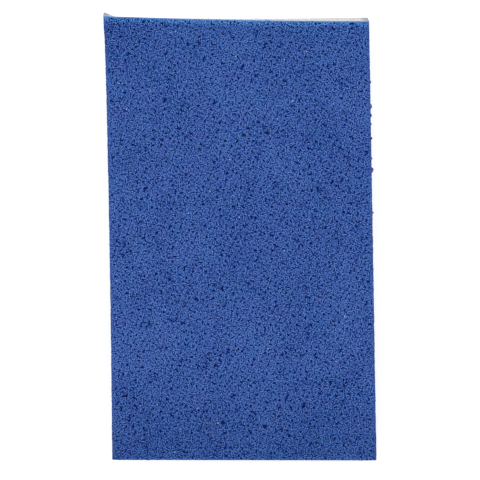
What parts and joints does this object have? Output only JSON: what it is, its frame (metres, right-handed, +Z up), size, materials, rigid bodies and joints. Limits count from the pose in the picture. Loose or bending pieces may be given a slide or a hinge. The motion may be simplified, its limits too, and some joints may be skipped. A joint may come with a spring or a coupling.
{
  "type": "sanding sponge",
  "caption": "Rectangular foam block with a blue, pinholed abrasive coat round its four long faces and bare foam at both short ends, for sanding by hand.",
  "frame": {"origin": "centre of the block's outline, on the face that it lies on", "axes": "+X across the width, +Y along the length towards the more slanted end, +Z up through the thickness, out of the working face"},
  "size_m": [0.0762, 0.1292, 0.0254],
  "materials": {
    "foam": "pale open-cell foam, matte",
    "coat": "blue resin and fine grit, matte, with pinholes"
  },
  "bodies": {
    "root": {"foam_core": "foam", "abrasive_coat": "coat"}
  },
  "joints": []
}
